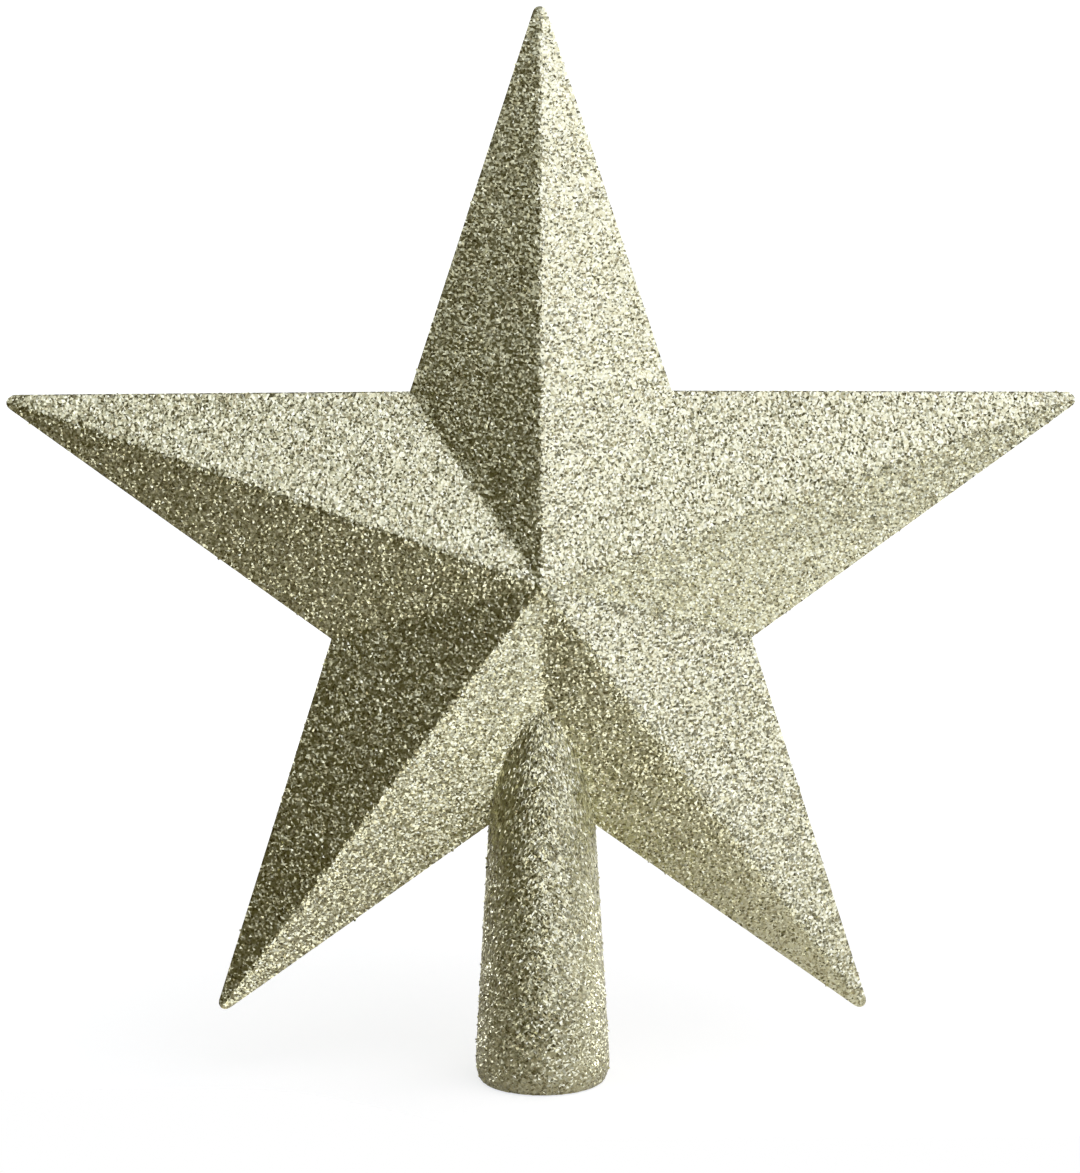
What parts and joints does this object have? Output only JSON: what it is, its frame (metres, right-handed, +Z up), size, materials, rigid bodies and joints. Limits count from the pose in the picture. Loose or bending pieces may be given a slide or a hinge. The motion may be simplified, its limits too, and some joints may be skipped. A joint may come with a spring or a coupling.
{
  "type": "christmas tree topper star",
  "caption": "Hollow faceted star with a pale gold glitter coat on a tapered, open-ended socket tube that drops over the tip of a tree.",
  "frame": {"origin": "middle of the socket's mouth, on the plane of the foot that the star stands on", "axes": "+Z up along the socket towards the top point, X across the star, front face towards -Y"},
  "size_m": [0.1856, 0.0378, 0.19],
  "materials": {
    "moulded_plastic": "moulded, gold tinted",
    "socket_plastic": "moulded, gold tinted",
    "clear_cement": "dried cement",
    "gold_glitter": "metallised flakes in clear lacquer"
  },
  "bodies": {
    "root": {"front_shell": "moulded_plastic", "rear_shell": "moulded_plastic", "socket_tube": "socket_plastic", "seam_cement": "clear_cement", "glitter_coat": "gold_glitter"}
  },
  "joints": []
}
